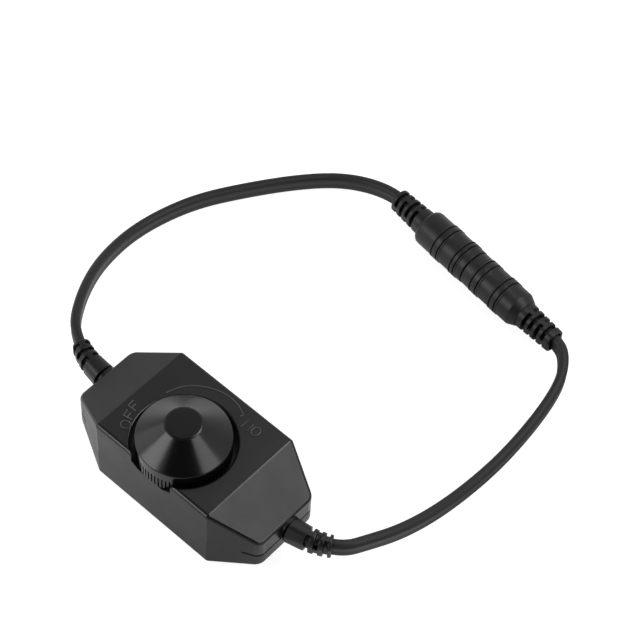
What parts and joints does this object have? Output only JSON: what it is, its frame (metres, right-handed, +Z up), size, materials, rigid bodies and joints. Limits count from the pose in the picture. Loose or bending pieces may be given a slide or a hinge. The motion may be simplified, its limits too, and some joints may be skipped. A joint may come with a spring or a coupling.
{
  "type": "rotary led dimmer",
  "caption": "Inline rotary dimmer: long octagonal case with a cone dial in a notched round well, windowed strain reliefs, two flat cords and a mated barrel connector pair.",
  "frame": {"origin": "middle of the case's flat underside", "axes": "+X along the case to the end with the output cord, -Y the long side with the thumb notch, +Z up through the dial"},
  "size_m": [0.1309, 0.1298, 0.0325],
  "materials": {
    "case_plastic": "fine satin texture",
    "knob_plastic": "fine satin texture",
    "cord_jacket": "soft matte",
    "relief_rubber": "soft matte",
    "connector_rubber": "soft matte",
    "screw_steel": "zinc plated",
    "board_laminate": "green solder mask",
    "pot_moulding": "moulded",
    "pot_metal": "tinned",
    "carbon_track": "printed carbon",
    "contact_brass": "stamped",
    "tinned_leads": "tinned",
    "chip_moulding": "moulded epoxy",
    "can_metal": "drawn",
    "chip_ceramic": "fired ceramic",
    "wire_red": "extruded",
    "wire_black": "extruded",
    "insert_plastic": "moulded",
    "barrel_nickel": "nickel plated"
  },
  "bodies": {
    "case": {"case_top": "case_plastic", "case_bottom": "case_plastic", "case_screws": "screw_steel", "circuit_board": "board_laminate", "pot_base": "pot_moulding", "pot_track": "carbon_track", "pot_cover": "pot_metal", "pot_terminals": "tinned_leads", "mosfet_body": "chip_moulding", "mosfet_tab_leads": "tinned_leads", "timer_chip_body": "chip_moulding", "timer_chip_leads": "tinned_leads", "electrolytic_capacitor": "can_metal", "diode": "chip_moulding", "chip_resistors": "chip_moulding", "chip_capacitors": "chip_ceramic", "input_wire_red": "wire_red", "input_wire_black": "wire_black", "output_wire_red": "wire_red", "output_wire_black": "wire_black", "input_relief": "relief_rubber", "output_relief": "relief_rubber", "input_cord": "cord_jacket", "output_cord": "cord_jacket", "jack_body": "connector_rubber", "jack_insulator": "insert_plastic", "jack_pin": "barrel_nickel", "jack_spring": "barrel_nickel"},
    "dial": {"knob": "knob_plastic", "pot_rotor": "pot_metal", "pot_wiper": "contact_brass"},
    "plug": {"plug_body": "connector_rubber", "plug_barrel": "barrel_nickel", "plug_insulator": "insert_plastic", "plug_tip_contact": "barrel_nickel"}
  },
  "joints": [
    {"name": "knob_turn", "type": "hinge", "parent": "case", "child": "dial", "pos_m": [0, -0.0039, 0.01925], "axis": [0, 0, -1], "range_deg": [0, 300]},
    {"name": "plug_pull", "type": "slide", "parent": "case", "child": "plug", "axis": [0.9925, -0.1219, 0], "range_m": [0, 0.01], "deforming": ["output_cord"]}
  ]
}
